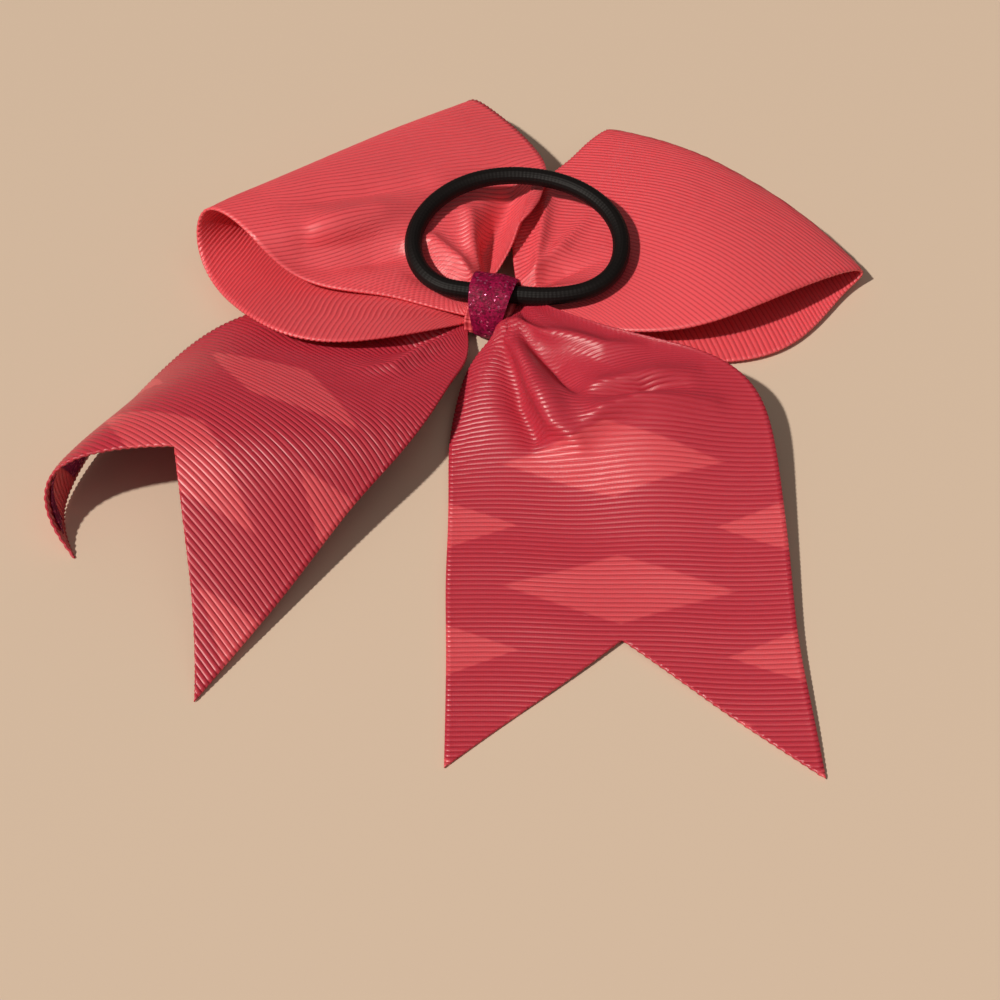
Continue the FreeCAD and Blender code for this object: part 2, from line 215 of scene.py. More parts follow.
def lifted(table, lengths, flat, laid, offset=0.0, ribbed=True):
    """Points on the sheet for flat places (share along it, share across it), ribs and all."""
    share, across = flat[:, 0], np.clip(flat[:, 1], 0, 1) * (table.shape[1] - 1)
    left = np.minimum(across.astype(int), table.shape[1] - 2)
    part = (across - left)[:, None]
    found = []
    normals = surface_normals(table)
    travelled = []
    for column in (left, left + 1):
        target, run = laid(share, column, lengths[-1, column])
        row = np.empty(len(share))
        for c in np.unique(column):
            here = column == c
            row[here] = np.interp(target[here], lengths[:, c], np.arange(table.shape[0]))
        low = np.minimum(row.astype(int), table.shape[0] - 2)
        rest = (row - low)[:, None]
        point = table[low, column] * (1 - rest) + table[low + 1, column] * rest
        normal = normals[low, column] * (1 - rest) + normals[low + 1, column] * rest
        found.append((point, normal))
        travelled.append(run)
    point = found[0][0] * (1 - part) + found[1][0] * part
    normal = found[0][1] * (1 - part) + found[1][1] * part
    run = travelled[0] * (1 - part[:, 0]) + travelled[1] * part[:, 0]
    rise = np.full(len(share), offset)
    if ribbed:
        edge = np.minimum(flat[:, 1], 1 - flat[:, 1]) * ribbon_width
        bead = np.clip(1 - edge / selvedge_width, 0, 1)
        phase = np.abs(np.sin(math.pi * run / rib_pitch))
        rise += rib_height * (phase ** 0.8 - 0.5) * (1 - bead) + rib_height * 0.9 * bead * phase
    return point + normal * rise[:, None], run


def split_along(sheet, start, end):
    """Cuts a flat sheet's squares along the line through two places, so that an edge can follow it."""
    normal = (start[1] - end[1], end[0] - start[0], 0)
    parts = sheet.verts[:] + sheet.edges[:] + sheet.faces[:]
    bmesh.ops.bisect_plane(sheet, geom=parts, plane_co=(start[0], start[1], 0), plane_no=normal, dist=1e-9)


def drop_where(sheet, inside):
    """Deletes the squares of a flat sheet whose middle is inside a shape."""
    gone = [face for face in sheet.faces if inside(*face.calc_center_median()[:2])]
    bmesh.ops.delete(sheet, geom=gone, context="FACES")


def cloth_piece(name, sheet, table, laid, offset=0.0, ribbed=True, thickness=ribbon_thickness):
    """Lifts a flat sheet onto its table of points, gives it its weave map and its thickness."""
    lengths = column_lengths(table)
    sheet.verts.index_update()
    flat = np.array([v.co[:2] for v in sheet.verts])
    points, run = lifted(table, lengths, flat, laid, offset, ribbed)
    weave = sheet.loops.layers.uv.new("weave")
    for face in sheet.faces:
        for corner in face.loops:
            i = corner.vert.index
            corner[weave].uv = (run[i], flat[i, 1] * ribbon_width)
    for vertex, point in zip(sheet.verts, points):
        vertex.co = point
    mesh = bpy.data.meshes.new(name)
    sheet.to_mesh(mesh)
    sheet.free()
    piece = bpy.data.objects.new(name, mesh)
    bpy.context.collection.objects.link(piece)
    bpy.context.view_layer.objects.active = piece
    wall = piece.modifiers.new("wall", "SOLIDIFY")
    wall.thickness = thickness
    wall.offset = 0.0
    bpy.ops.object.modifier_apply(modifier="wall")
    for polygon in piece.data.polygons:
        polygon.use_smooth = True
    return piece


def flat_grid(rows, columns):
    """A flat sheet of squares, with both sides from 0 to 1."""
    sheet = bmesh.new()
    corners = []
    for i in range(rows + 1):
        corners.append([sheet.verts.new((i / rows, j / columns, 0)) for j in range(columns + 1)])
    for i in range(rows):
        for j in range(columns):
            sheet.faces.new((corners[i][j], corners[i + 1][j], corners[i + 1][j + 1], corners[i][j + 1]))
    return sheet


def value_node(tree, operation, *inputs):
    """A Math node with its inputs set to numbers or linked to sockets."""
    node = tree.nodes.new("ShaderNodeMath")
    node.operation = operation
    for socket, given in zip(node.inputs, inputs):
        if isinstance(given, (int, float)):
            socket.default_value = given
        else:
            tree.links.new(given, socket)
    return node.outputs[0]


# The weave group gives the grooves between the ribs their painted shade and raises the fine warp threads that
# wrap them.
thread_width = 0.17 * MM
weave_group = bpy.data.node_groups.new("grosgrain", "ShaderNodeTree")
weave_group.interface.new_socket("Pitch", in_out="INPUT", socket_type="NodeSocketFloat")
weave_group.interface.new_socket("GrooveShade", in_out="OUTPUT", socket_type="NodeSocketFloat")
weave_group.interface.new_socket("Height", in_out="OUTPUT", socket_type="NodeSocketFloat")
weave_group.interface.new_socket("Along", in_out="OUTPUT", socket_type="NodeSocketFloat")
weave_group.interface.new_socket("Across", in_out="OUTPUT", socket_type="NodeSocketFloat")
group_in = weave_group.nodes.new("NodeGroupInput")
group_out = weave_group.nodes.new("NodeGroupOutput")
uv = weave_group.nodes.new("ShaderNodeUVMap")
uv.uv_map = "weave"
split = weave_group.nodes.new("ShaderNodeSeparateXYZ")
weave_group.links.new(uv.outputs[0], split.inputs[0])
along, across = split.outputs[0], split.outputs[1]
rib_turn = value_node(weave_group, "MULTIPLY", along, math.pi)
rib_phase = value_node(weave_group, "DIVIDE", rib_turn, group_in.outputs[0])
rib_wave = value_node(weave_group, "ABSOLUTE", value_node(weave_group, "SINE", rib_phase))
# Painted shade: darkest in the groove between two ribs, none on their crests.
groove_shade = value_node(weave_group, "POWER", value_node(weave_group, "SUBTRACT", 1.0, rib_wave), 2.2)
thread_turn = value_node(weave_group, "MULTIPLY", across, math.pi / thread_width)
thread_wave = value_node(weave_group, "SINE", thread_turn)
uneven = weave_group.nodes.new("ShaderNodeTexNoise")
uneven.inputs["Scale"].default_value = 900
weave_group.links.new(uv.outputs[0], uneven.inputs["Vector"])
thread_height = value_node(weave_group, "MULTIPLY", thread_wave, 0.35)
height = value_node(weave_group, "ADD", thread_height, uneven.outputs[0])
weave_group.links.new(groove_shade, group_out.inputs["GrooveShade"])
weave_group.links.new(height, group_out.inputs["Height"])
weave_group.links.new(along, group_out.inputs["Along"])
weave_group.links.new(across, group_out.inputs["Across"])


def mixed(tree, factor, first, second, blend="MIX"):
    """A colour between two, by a number or a socket."""
    node = tree.nodes.new("ShaderNodeMix")
    node.data_type = "RGBA"
    node.blend_type = blend
    for socket, given in ((node.inputs[0], factor), (node.inputs[6], first), (node.inputs[7], second)):
        if isinstance(given, (int, float, tuple)):
            socket.default_value = given
        else:
            tree.links.new(given, socket)
    return node.outputs[2]


ribbon_coral = (0.82, 0.100, 0.122, 1)
# The darker groove colour is painted shade, laid in the grooves between the ribs.
ribbon_groove_shade = (0.42, 0.016, 0.028, 1)
# The tails' coral is the same ribbon as the loops, painted darker as painted shade, since the tails lie flat
# and get less sun.
shaded_tail_coral = (0.66, 0.074, 0.096, 1)
film_rose = (0.49, 0.030, 0.056, 1)


def ribbon_material(name, bare=None):
    """Coral grosgrain. bare builds the mask of bare ribbon where a film behind it darkens the rest."""
    material = bpy.data.materials.new(name)
    material.use_nodes = True
    tree = material.node_tree
    shader = tree.nodes["Principled BSDF"]
    weave = tree.nodes.new("ShaderNodeGroup")
    weave.node_tree = weave_group
    weave.inputs["Pitch"].default_value = rib_pitch
    face = ribbon_coral
    if bare:
        # On the tails the bare ribbon takes the darker coral, which is painted shade.
        face = mixed(tree, bare(tree, weave.outputs["Along"], weave.outputs["Across"]), film_rose, shaded_tail_coral)
    # Painted shade: the grooves between the ribs are darkened towards the groove shade colour.
    shaded = mixed(tree, value_node(tree, "MULTIPLY", weave.outputs["GrooveShade"], 0.8), face, ribbon_groove_shade)
    tree.links.new(shaded, shader.inputs["Base Color"])
    shader.inputs["Roughness"].default_value = 0.38
    shader.inputs["Specular IOR Level"].default_value = 0.6
    shader.inputs["Subsurface Weight"].default_value = 0.3
    shader.inputs["Subsurface Radius"].default_value = (1.0, 0.12, 0.14)
    shader.inputs["Subsurface Scale"].default_value = 0.9 * MM
    bump = tree.nodes.new("ShaderNodeBump")
    bump.inputs["Strength"].default_value = 0.35
    bump.inputs["Distance"].default_value = 0.04 * MM
    tree.links.new(weave.outputs["Height"], bump.inputs["Height"])
    tree.links.new(bump.outputs[0], shader.inputs["Normal"])
    return material


ribbon_plain = ribbon_material("coral_grosgrain")

gather_x = 5.85
gather_depth = 9.0
gather_base = 2.4
gather_middle = 0.5
layer_step = 1.9


def gathered_row(side, count, layer, arch=0.0):
    """Where a ribbon enters the gathers; side is -1 on the left and 1 on the right."""
    row = []
    for i in range(count):
        share = i / (count - 1)
        y = gather_middle + (share - 0.5) * gather_depth
        row.append((side * gather_x, y, gather_base + layer_step * layer + arch * math.sin(math.pi * share)))
    return row


left_loop_rows = [
    gathered_row(-1, 8, 1.0),
    [(-17, -17, 9), (-18, -12, 9), (-19, -5, 8), (-19, -1, 8),
     (-18, 4, 7), (-16, 12, 6), (-12, 21, 5), (-4, 28, 4)],
    [(-34, -30, 12), (-34, -21, 11), (-33, -9, 9), (-32, -3, 8),
     (-30, 4, 7), (-26, 17, 5), (-20, 30, 3), (-8, 43, 3)],
    [(-53, -23, 11), (-51, -13, 9), (-48, -1, 7), (-46, 4, 7), (-42, 12, 5),
     (-36, 24, 4), (-28, 38, 3), (-16, 57, 3)],
    [(-70, -6, 4), (-67, 4, 4), (-62, 14, 3), (-60, 19, 3), (-55, 26, 3),
     (-48, 37, 3), (-40, 50, 3), (-27, 68, 3)],
    [(-76, 2, 12), (-71, 9, 12), (-66, 16, 11), (-63, 21, 11),
     (-58, 28, 10), (-51, 39, 10), (-43, 52, 9), (-28, 73, 8)],
    [(-73, 4, 21), (-70, 9, 21), (-67, 14, 20), (-63, 18, 20),
     (-57, 27, 19), (-47, 42, 17), (-36, 58, 15), (-25, 72, 13)],
    [(-63, 0, 20), (-59, 5, 20), (-55, 11, 20), (-52, 16, 20),
     (-45, 28, 19), (-37, 43, 17), (-28, 58, 15), (-19, 69, 12)],
    [(-58, -4, 18), (-52, 3, 18), (-48, 8, 19), (-43, 14, 19),
     (-37, 25, 18), (-30, 40, 16), (-21, 55, 14), (-11, 63, 12)],
    [(-47, -7, 11), (-48, -2, 12), (-49, 1, 13), (-47, 2, 18),
     (-37, 15, 18), (-26, 33, 16), (-16, 49, 14), (-3, 55, 12)],
    [(-35, -7, 10), (-37, 0, 12), (-39, 7, 12), (-37, 8, 17), (-28, 22, 15),
     (-19, 37, 15), (-10, 45, 11), (2, 47, 13)],
    [(-24, -4, 9), (-26, 2, 11), (-28, 12, 10), (-28, 15, 13),
     (-21, 27, 13), (-13, 36, 13), (-5, 39, 8), (3, 36, 14)],
    [(-14, -4, 7), (-15, 0, 8), (-16, 6, 9), (-17, 9, 12), (-13, 17, 12),
     (-8, 25, 13), (-3, 27, 8), (4, 24, 14)],
    gathered_row(-1, 8, 2.3, 1.5),
]
back_layer = (0.52, 1.0)
left_loop_folds = [
    # crest and valley of the crease, then the pleats at the knot
    fold_line([(-62, -4, 0), (-52, 2, 1.6), (-42, 9, 2.2), (-33, 17, 2.2), (-25, 23, 0.8)], 3.5, back_layer),
    fold_line([(-56, 8, 0), (-47, 14, -1.6), (-37, 22, -2.0), (-27, 30, -1.0)], 3.5, back_layer),
    fold_line([(-50, -4, -0.5), (-40, -1, -1.5), (-31, 5, -2.0), (-24, 9, -0.5)], 3.0, back_layer),
    fold_line([(-5, 3, 2.0), (-11, 9, 3.0), (-19, 14, 2.0), (-26, 12, 0)], 2.2, back_layer),
    fold_line([(-5, 0, -1.5), (-14, 3, -2.0), (-24, 4, 0)], 2.0, back_layer),
    fold_line([(-4, 8, -1.0), (-6, 18, -4.0), (-6, 30, -4.0), (-6, 41, -2.0)], 2.8, back_layer),
    fold_line([(-5, 6, 1.0), (-10, 17, 2.5), (-13, 26, 1.5)], 2.0, back_layer),
    fold_line([(1, 10, 1.0), (2, 18, 2.5), (2, 30, 2.5), (0, 42, 1.0)], 1.6, back_layer),
]
loop_columns, loop_rows = 64, 640
fold_share = 0.46
skew_reach = 11 * MM


def laid_from_fold(share, column, total):
    """Distance along a loop, and its ribs' count from the end fold, against which they lean a little."""
    distance = share * total
    return distance, distance - total * fold_share - skew_reach * (column / (table_columns - 1) - 0.5)


left_loop_sheet = flat_grid(loop_rows, loop_columns)
left_loop_table = folded(left_loop_rows, left_loop_folds)
left_loop = cloth_piece("left_loop_ribbon", left_loop_sheet, left_loop_table, laid_from_fold)
left_loop.data.materials.append(ribbon_plain)
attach(left_loop, "bow")
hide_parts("left_loop")

# ---- Right loop ------------------------------------------------------------------------------------
# The other loop of the same ribbon: a flatter dome whose far edge curls over in a bowed fold that
# runs out to a sharp tip on the right.
right_loop_rows = [
    gathered_row(1, 5, 0.0),
    [(27, -3, 2), (25, 6, 2), (20, 16, 2), (12, 24, 2), (4, 30, 2)],
    [(51, -3, 2), (46, 12, 2), (36, 24, 2), (20, 36, 2), (6, 44, 2)],
    [(72, 8, 2), (61, 25, 2), (46, 41, 2), (27, 50, 2), (11, 57, 2)],
    [(79, 33, 2), (65, 46, 2), (46, 59, 2), (29, 69, 2), (14, 71, 2)],
    [(84, 39, 4), (71, 52, 5), (50, 65, 6), (30, 74, 6), (12, 77, 5)],
    [(82, 37, 8), (69, 50, 10), (48, 63, 11), (28, 72, 11), (11, 74, 9)],
    [(69, 20, 12), (61, 34, 14), (46, 48, 15), (26, 58, 13), (7, 64, 10)],
    [(57, 7, 12), (50, 23, 15), (37, 35, 15), (22, 45, 13), (5, 56, 10)],
    [(45, 1, 9), (39, 13, 11), (30, 27, 12), (17, 36, 11), (0, 47, 10)],
    [(30, -1, 7), (26, 8, 9), (22, 18, 10), (11, 26, 9), (-2, 34, 10)],
    [(16, 0, 6), (14, 7, 8), (12, 13, 9), (9, 19, 9), (-2, 20, 10)],
    gathered_row(1, 5, 1.2, 1.2),
]
right_loop_folds = [
    fold_line([(6, 4, 2.0), (14, 8, 2.5), (24, 12, 1.0)], 2.2, back_layer),
    fold_line([(6, 8, -1.0), (14, 15, -1.8), (24, 22, 0)], 2.2, back_layer),
    fold_line([(6, 12, 1.0), (11, 22, 2.2), (15, 34, 0.5)], 2.0, back_layer),
    fold_line([(8, 10, 1.0), (6, 20, 2.0), (4, 34, 2.0), (3, 44, 0.5)], 1.6, back_layer),
]
right_loop_sheet = flat_grid(loop_rows, loop_columns)
right_loop_table = folded(right_loop_rows, right_loop_folds)
right_loop = cloth_piece("right_loop_ribbon", right_loop_sheet, right_loop_table, laid_from_fold)
right_loop.data.materials.append(ribbon_plain)
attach(right_loop, "bow")
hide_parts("right_loop")

# ---- Left tail -------------------------------------------------------------------------------------
# The end of the ribbon behind the left loop, cut with a V. It stands up in an arch, and its outer
# corner curls down to the board. Glitter film is pressed on its face side, with bare diamonds.
tail_columns, tail_rows = 64, 660
notch_depth = 34 * MM
diamond_length, diamond_width, diamond_pitch = 20 * MM, 53 * MM, 35 * MM
diamond_count = 3
diamond_start = 62 * MM
point_length, point_reach = 14 * MM, 16 * MM
film_selvedge_margin, film_end_margin = 2 * MM, 3 * MM


def laid_from_end(length):
    """Distance along a tail, and its ribs' count from the cut end, so that both run straight there."""

    def laid(share, column, total):
        pulled = np.clip(1 - share / 0.5, 0, 1)
        left_to_go = (1 - share) * (length + (total - length) * pulled)
        return total - left_to_go, -left_to_go

    return laid


def diamond_mask(first_diamond):
    """Builds the mask of bare diamonds and points, from the distance of the first one to the tips."""

    def build(tree, along, across):
        masks = []
        half_width = ribbon_width / 2
        for row in range(diamond_count):
            centre = -first_diamond + row * diamond_pitch
            shapes = [(centre, half_width, diamond_length / 2, diamond_width / 2)]
            between = centre + diamond_pitch / 2
            shapes.append((between, 0.0, point_length / 2, point_reach))
            shapes.append((between, ribbon_width, point_length / 2, point_reach))
            for at, side, half_length, reach in shapes:
                down = value_node(tree, "ABSOLUTE", value_node(tree, "SUBTRACT", along, at))
                out = value_node(tree, "ABSOLUTE", value_node(tree, "SUBTRACT", across, side))
                down = value_node(tree, "DIVIDE", down, half_length)
                out = value_node(tree, "DIVIDE", out, reach)
                inside = value_node(tree, "SUBTRACT", 1.0, value_node(tree, "ADD", down, out))
                masks.append(value_node(tree, "MULTIPLY", inside, 14.0))
        total = masks[0]
        for mask in masks[1:]:
            total = value_node(tree, "MAXIMUM", total, mask)
        limited = value_node(tree, "MINIMUM", value_node(tree, "MAXIMUM", total, 0.0), 1.0)
        return limited

    return build


def notched(rows, columns, length, depth):
    """A flat tail with the V cut out of its end."""
    sheet = flat_grid(rows, columns)
    share = depth / length
    apex = (1 - share, 0.5)
    split_along(sheet, apex, (1, 0))
    split_along(sheet, apex, (1, 1))
    drop_where(sheet, lambda x, y: (x - apex[0]) / share > abs(y - 0.5) * 2)
    return sheet


left_tail_rows = [
    list(reversed(gathered_row(-1, 5, 0.0))),
    [(-25, 2, 2), (-20, -7, 2), (-13, -17, 4), (-6, -21, 5), (-1, -14, 4)],
    [(-45, -3, 2), (-36, -14, 3), (-23, -31, 9), (-11, -39, 12), (-2, -28, 9)],
    [(-62, -17, 4), (-48, -30, 9), (-31, -45, 17), (-15, -52, 16), (-2, -41, 12)],
    [(-70, -36, 3), (-60, -48, 17), (-40, -61, 24), (-21, -67, 20), (-5, -57, 12)],
    [(-76, -62, 3), (-70, -66, 20), (-51, -75, 26), (-31, -80, 21), (-12, -74, 10)],
    [(-77, -78, 2), (-77, -80, 20), (-60, -85, 26), (-38, -90, 18), (-18, -94, 5)],
    [(-75, -88, 1), (-82, -90, 16), (-66, -95, 25), (-44, -100, 16), (-23, -109, 3)],
    [(-68, -96, 1), (-76, -99, 14), (-64, -105, 20), (-47, -114, 9), (-29, -127, 1)],
]
left_tail_folds = [
    fold_line([(-6, -6, 1.0), (-12, -18, 2.5), (-16, -28, 2.0), (-26, -34, 0)], 2.5),
    fold_line([(-7, -4, 0.5), (-18, -10, 2.0), (-28, -14, 0.5)], 2.5),
    fold_line([(-6, -5, -0.5), (-15, -14, -2.0), (-22, -22, -0.5)], 2.5),
]
left_table = folded(left_tail_rows, left_tail_folds)
left_length = float(column_lengths(left_table)[-1].mean())
left_tail_sheet = notched(tail_rows, tail_columns, left_length, notch_depth)
left_tail = cloth_piece("left_tail_ribbon", left_tail_sheet, left_table, laid_from_end(left_length))
left_first_diamond = left_length - diamond_start
left_tail.data.materials.append(ribbon_material("left_tail_grosgrain", diamond_mask(left_first_diamond)))
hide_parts("left_tail_root", "left_tail")

# ---- Right tail ------------------------------------------------------------------------------------
# The ribbon's other end, over the front of the right loop. It comes out of the knot in sharp pleats,
# humps once and then lies flat to its two tips.
right_tail_rows = [
    gathered_row(1, 8, 3.0),
    [(0, -13, 5), (4, -16, 8), (6, -13, 6), (8, -15, 11), (11, -8, 8), (16, -10, 12),
     (19, -5, 11), (21, -4, 12)],
    [(-1, -24, 4), (5, -26, 8), (11, -21, 5), (15, -25, 13), (20, -16, 9),
     (27, -14, 13), (32, -8, 12), (37, -8, 14)],
    [(0, -33, 3), (7, -34, 7), (17, -30, 5), (23, -36, 14), (28, -24, 10),
     (36, -19, 13), (45, -12, 13), (53, -9, 14)],
    [(1, -42, 2), (11, -42, 5), (21, -38, 5), (30, -39, 13), (37, -28, 12),
     (46, -23, 14), (54, -16, 13), (64, -13, 12)],
    [(4, -53, 2), (13, -51, 3), (23, -47, 3), (32, -41, 5), (42, -38, 10),
     (52, -33, 11), (62, -25, 9), (71, -22, 9)],
    [(8, -67, 2), (17, -64, 2), (27, -61, 2), (37, -56, 2), (47, -52, 4),
     (58, -48, 5), (68, -44, 5), (77, -41, 6)],
    [(12, -84, 2), (22, -81, 2), (32, -78, 2), (42, -74, 2), (52, -71, 2),
     (63, -68, 3), (73, -64, 3), (83, -62, 4)],
    [(17, -100, 1), (27, -98, 1), (37, -96, 2), (47, -93, 2), (57, -90, 2),
     (68, -88, 2), (78, -85, 2), (88, -83, 3)],
    [(21, -115, 1), (31, -113, 1), (41, -110, 1), (51, -108, 1), (62, -105, 1),
     (72, -103, 1), (83, -100, 1), (94, -98, 2)],
    [(25, -130, 1), (35, -127, 1), (46, -125, 1), (56, -123, 1), (67, -120, 1),
     (77, -118, 1), (88, -116, 1), (99, -113, 1)],
]
right_tail_folds = [
    # the long sharp pleat, the one that fans out behind it, and the two humps
    fold_line([(5, -8, 1.5), (18, -28, 3.5), (25, -37, 4.0), (31, -40, 1.0)], 1.8),
    fold_line([(8, -14, -1.0), (14, -30, -3.0), (20, -39, -2.5)], 2.5),
    fold_line([(6, -6, 1.5), (15, -10, 3.0), (30, -13, 2.0), (40, -10, 0)], 2.2),
    fold_line([(10, -10, -1.0), (20, -19, -3.5), (27, -27, -3.0)], 2.5),
    fold_line([(24, -29, 1.0), (33, -25, 2.5), (44, -20, 2.5), (54, -15, 0)], 3.0),
    fold_line([(30, -38, 1.0), (34, -33, 3.0), (42, -28, 3.2), (57, -23, 1.0)], 2.4),
    fold_line([(33, -28, -1.0), (42, -24, -3.0), (52, -20, 0)], 2.0),
]
right_table = folded(right_tail_rows, right_tail_folds)
right_length = float(column_lengths(right_table)[-1].mean())
right_tail_sheet = notched(tail_rows, tail_columns, right_length, notch_depth)
right_tail = cloth_piece("right_tail_ribbon", right_tail_sheet, right_table, laid_from_end(right_length))
right_first_diamond = right_length - diamond_start
right_tail.data.materials.append(ribbon_material("right_tail_grosgrain", diamond_mask(right_first_diamond)))
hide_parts("right_tail_root", "right_tail")

# ---- Glitter films ---------------------------------------------------------------------------------
# A thin glitter film is pressed on the face side of each tail, which lies downwards. It is cut with
# bare diamonds along the middle and points at the selvedges, and stops short of the cut end.
film_lift = 0.55 * MM
film_thickness = 0.12 * MM
film_columns, film_rows = 60, 130
film_start = 0.36  # of the tail's length, where the film begins


def glitter_material(name, dark, bright, grain, sparkle):
    """Plastic glitter: flakes of one colour in two shades, some of them turned to catch the light."""
    material = bpy.data.materials.new(name)
    material.use_nodes = True
    tree = material.node_tree
    shader = tree.nodes["Principled BSDF"]
    place = tree.nodes.new("ShaderNodeTexCoord")
    flakes = tree.nodes.new("ShaderNodeTexVoronoi")
    flakes.inputs["Scale"].default_value = grain
    tree.links.new(place.outputs["Object"], flakes.inputs["Vector"])
    tone = tree.nodes.new("ShaderNodeSeparateColor")
    tree.links.new(flakes.outputs["Color"], tone.inputs[0])
    base = mixed(tree, tone.outputs[0], dark, bright)
    lit = value_node(tree, "GREATER_THAN", tone.outputs[1], sparkle)
    tree.links.new(mixed(tree, lit, base, (1.0, 0.22, 0.46, 1)), shader.inputs["Base Color"])
    tree.links.new(value_node(tree, "MULTIPLY", lit, 0.9), shader.inputs["Metallic"])
    glint = value_node(tree, "MULTIPLY", lit, 0.3)
    tree.links.new(value_node(tree, "SUBTRACT", 0.5, glint), shader.inputs["Roughness"])
    shader.inputs["Specular IOR Level"].default_value = 0.15
    bump = tree.nodes.new("ShaderNodeBump")
    bump.inputs["Strength"].default_value = 0.9
    bump.inputs["Distance"].default_value = 0.12 * MM
    tree.links.new(tone.outputs[2], bump.inputs["Height"])
    tree.links.new(bump.outputs[0], shader.inputs["Normal"])
    return material


film_glitter = glitter_material(
    "magenta_glitter_film", (0.10, 0.004, 0.03, 1), (0.30, 0.01, 0.09, 1), 2600, 0.93
)


def film(name, table, length, first_diamond):
    """The film under one tail, with its diamonds and points cut out."""
    sheet = flat_grid(film_rows, film_columns)
    share = (notch_depth + film_end_margin) / length
    apex = (1 - share, 0.5)
    tips_out = film_end_margin / length
    split_along(sheet, apex, (1 - tips_out, 0))
    split_along(sheet, apex, (1 - tips_out, 1))
    holes = []
    for row in range(diamond_count):
        centre = 1 - (first_diamond - row * diamond_pitch) / length
        between = centre + diamond_pitch / 2 / length
        holes.append((centre, 0.5, diamond_length / 2 / length, diamond_width / 2 / ribbon_width))
        holes.append((between, 0.0, point_length / 2 / length, point_reach / ribbon_width))
        holes.append((between, 1.0, point_length / 2 / length, point_reach / ribbon_width))
    for x, y, half, reach in holes:
        for side in (-1, 1):
            if 0 <= y + side * reach <= 1:
                split_along(sheet, (x - half, y), (x, y + side * reach))
                split_along(sheet, (x + half, y), (x, y + side * reach))
    margin = film_selvedge_margin / ribbon_width

    def bare(x, y):
        if y < margin or y > 1 - margin or x < film_start:
            return True
        if (x - apex[0]) / (share - tips_out) > abs(y - 0.5) * 2:
            return True
        return any(abs(x - hx) / half + abs(y - hy) / reach < 1 for hx, hy, half, reach in holes)

    drop_where(sheet, bare)
    lift = film_side(table) * film_lift
    return cloth_piece(name, sheet, table, laid_from_end(length), lift, False, film_thickness)


def film_side(table):
    """1 where the table's normals point down to the face side, -1 where they point up."""
    return 1 if surface_normals(table)[table_rows // 2, table_columns // 2, 2] < 0 else -1


left_film = film("left_tail_film", left_table, left_length, left_first_diamond)
right_film = film("right_tail_film", right_table, right_length, right_first_diamond)
for piece, node in ((left_film, "left_tail_glitter"), (right_film, "right_tail_glitter")):
    piece.data.materials.append(film_glitter)
    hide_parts(node)

# ---- The tails and their films keep their shapes ---------------------------------------------------
# Each tail and its film have their placing baked into their meshes.
for joint, pieces, body in (
    ("left_tail_lift", (left_tail, left_film), "left_tail"),
    ("right_tail_lift", (right_tail, right_film), "right_tail"),
):
    for piece in pieces:
        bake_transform(piece)

# ---- Gathers, tie and glue -------------------------------------------------------------------------
# In the middle all the ribbon's layers are squeezed into accordion pleats. A nylon tie sunk into them
# holds them pinched, and hot-melt glue holds the wrap's lapped end under them.
pinch_low, pinch_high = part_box("pinched_centre")
pinch_middle, pinch_half = (pinch_low + pinch_high) / 2, (pinch_high - pinch_low) / 2
pleat_count, pinch_slices, pinch_points = 22, 16, 176
gathers = bmesh.new()
rings = []
for i in range(pinch_slices + 1):
    share = i / pinch_slices * 2 - 1
    waist = 1 - 0.16 * math.exp(-(share / 0.3) ** 2)
    ring = []
    for j in range(pinch_points):
        turn = 2 * math.pi * j / pinch_points
        pleat = 1 - 0.05 * (0.5 + 0.5 * math.cos(pleat_count * turn + 1.3 * share))
        y = math.copysign(abs(math.cos(turn)) ** 0.55, math.cos(turn)) * pinch_half.y
        z = math.copysign(abs(math.sin(turn)) ** 0.55, math.sin(turn)) * pinch_half.z
        place = pinch_middle + Vector((share * pinch_half.x, y * pleat * waist, z * pleat * waist))
        ring.append(gathers.verts.new(place))
    rings.append(ring)
for ring, following in zip(rings[:-1], rings[1:]):
    for j in range(pinch_points):
        k = (j + 1) % pinch_points
        gathers.faces.new((ring[j], ring[k], following[k], following[j]))
gathers.faces.new(list(reversed(rings[0])))
gathers.faces.new(rings[-1])
bmesh.ops.recalc_face_normals(gathers, faces=gathers.faces[:])
mesh = bpy.data.meshes.new("pinched_pleats")
gathers.to_mesh(mesh)
gathers.free()
pinched_pleats = bpy.data.objects.new("pinched_pleats", mesh)
bpy.context.collection.objects.link(pinched_pleats)
for polygon in mesh.polygons:
    polygon.use_smooth = len(polygon.vertices) == 4
pleat_fabric = bpy.data.materials.new("pleated_grosgrain")
pleat_fabric.use_nodes = True
tree = pleat_fabric.node_tree
shader = tree.nodes["Principled BSDF"]
place = tree.nodes.new("ShaderNodeTexCoord")
# Painted shade: wave bands darken the pleated ribbon in stripes, as shade in the grooves between its ribs;
# the same bands also drive the bump.
bands = tree.nodes.new("ShaderNodeTexWave")
bands.inputs["Scale"].default_value = 220
bands.inputs["Distortion"].default_value = 1.5
tree.links.new(place.outputs["Object"], bands.inputs["Vector"])
tree.links.new(mixed(tree, bands.outputs["Fac"], ribbon_groove_shade, ribbon_coral), shader.inputs["Base Color"])
shader.inputs["Roughness"].default_value = 0.6
bump = tree.nodes.new("ShaderNodeBump")
bump.inputs["Distance"].default_value = 0.2 * MM
tree.links.new(bands.outputs["Fac"], bump.inputs["Height"])
tree.links.new(bump.outputs[0], shader.inputs["Normal"])
mesh.materials.append(pleat_fabric)
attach(pinched_pleats, "bow")
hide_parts("pinched_centre")

